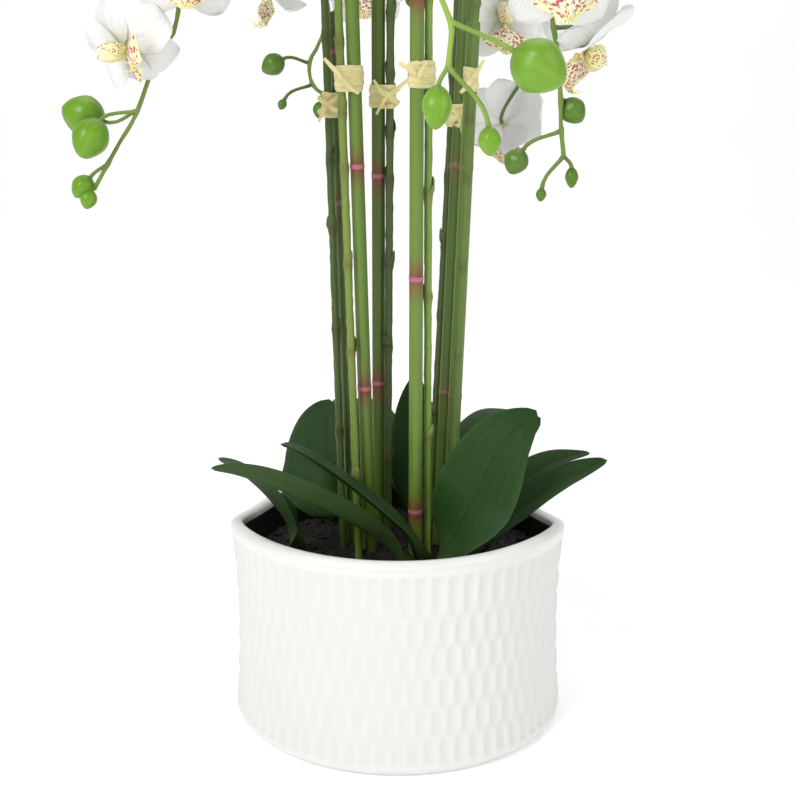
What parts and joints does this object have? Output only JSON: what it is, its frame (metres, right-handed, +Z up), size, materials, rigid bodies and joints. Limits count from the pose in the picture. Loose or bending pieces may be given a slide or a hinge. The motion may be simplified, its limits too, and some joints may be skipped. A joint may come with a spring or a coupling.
{
  "type": "potted orchid",
  "caption": "Potted moth orchid with arching flower sprays tied to canes and strap leaves, in a low white carved pot with a wavy rim.",
  "frame": {"origin": "centre of the pot's flat foot, on the surface that it stands on", "axes": "+Z up; -Y is the front that is seen first; +X is to the right from the front"},
  "size_m": [0.3843, 0.5018, 0.8524],
  "materials": {
    "pot_white": "satin white glaze over carved facets",
    "soil": "loose near-black potting mix",
    "cane": "smooth satin green with thin pink bands",
    "stem": "satin green, knobbly at the nodes",
    "raffia": "dry pale straw",
    "leaf": "satin dark green, lighter below",
    "petal": "white petals with a cream, yellow and crimson-spotted lip"
  },
  "bodies": {
    "root": {"bloom_back_1": "petal", "bloom_back_2": "petal", "bloom_back_3": "petal", "bloom_back_4": "petal", "bloom_front_1": "petal", "bloom_front_2": "petal", "bloom_front_3": "petal", "bloom_front_4": "petal", "bloom_front_5": "petal", "bloom_left_1": "petal", "bloom_left_2": "petal", "bloom_left_3": "petal", "bloom_left_4": "petal", "bloom_left_5": "petal", "bloom_left_6": "petal", "bloom_left_back_1": "petal", "bloom_left_back_2": "petal", "bloom_left_back_3": "petal", "bloom_left_back_4": "petal", "bloom_right_1": "petal", "bloom_right_2": "petal", "bloom_right_3": "petal", "bloom_right_4": "petal", "bloom_right_5": "petal", "bloom_right_back_1": "petal", "bloom_right_back_2": "petal", "bloom_right_back_3": "petal", "bloom_right_back_4": "petal", "cane_front": "cane", "cane_left": "cane", "cane_left_back": "cane", "cane_middle": "cane", "cane_right": "cane", "cane_right_back": "cane", "leaf_back": "leaf", "leaf_back_left": "leaf", "leaf_back_low": "leaf", "leaf_back_right": "leaf", "leaf_left_broad": "leaf", "leaf_left_edge": "leaf", "leaf_left_front": "leaf", "leaf_left_under": "leaf", "leaf_right_broad": "leaf", "leaf_right_low": "leaf", "leaf_right_twin": "leaf", "leaf_right_upper": "leaf", "pot": "pot_white", "soil": "soil", "spray_back": "stem", "spray_front": "stem", "spray_left": "stem", "spray_left_back": "stem", "spray_right": "stem", "spray_right_back": "stem", "tie_front": "raffia", "tie_left": "raffia", "tie_left_back": "raffia", "tie_middle": "raffia", "tie_right": "raffia", "tie_right_back": "raffia"}
  },
  "joints": []
}
